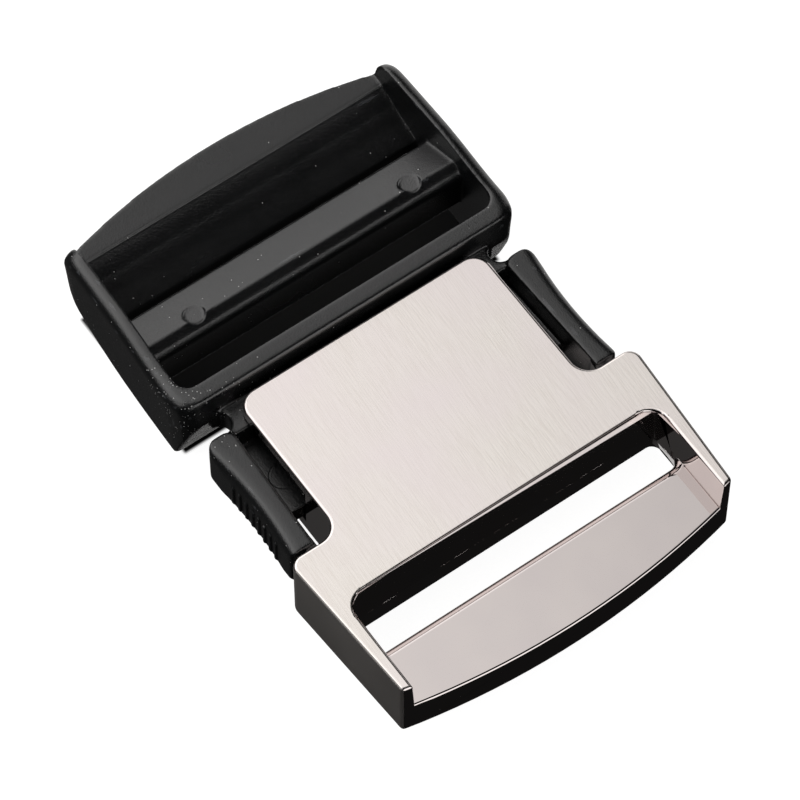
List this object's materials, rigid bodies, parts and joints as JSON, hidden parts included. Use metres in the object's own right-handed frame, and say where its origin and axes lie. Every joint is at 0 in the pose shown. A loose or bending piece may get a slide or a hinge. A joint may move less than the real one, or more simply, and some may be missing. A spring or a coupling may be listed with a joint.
{
  "type": "side release buckle",
  "caption": "Side release buckle for flat webbing, shown fastened: a plated metal housing with a sewing bar and a black moulded frame that adjusts the webbing.",
  "frame": {"origin": "under the middle of the fastened buckle, level with the lowest edge of the adjusting frame", "axes": "+X across the webbing, +Y from the metal webbing bar to the adjusting frame, +Z out of the brushed face"},
  "size_m": [0.0446, 0.0683, 0.0145],
  "materials": {
    "nickel_plate": "nickel-plated zinc die casting, brushed on top and polished round the edges",
    "black_acetal": "moulded black acetal with a fine matte texture"
  },
  "bodies": {
    "root": {"housing": "nickel_plate", "frame": "black_acetal"}
  },
  "joints": []
}
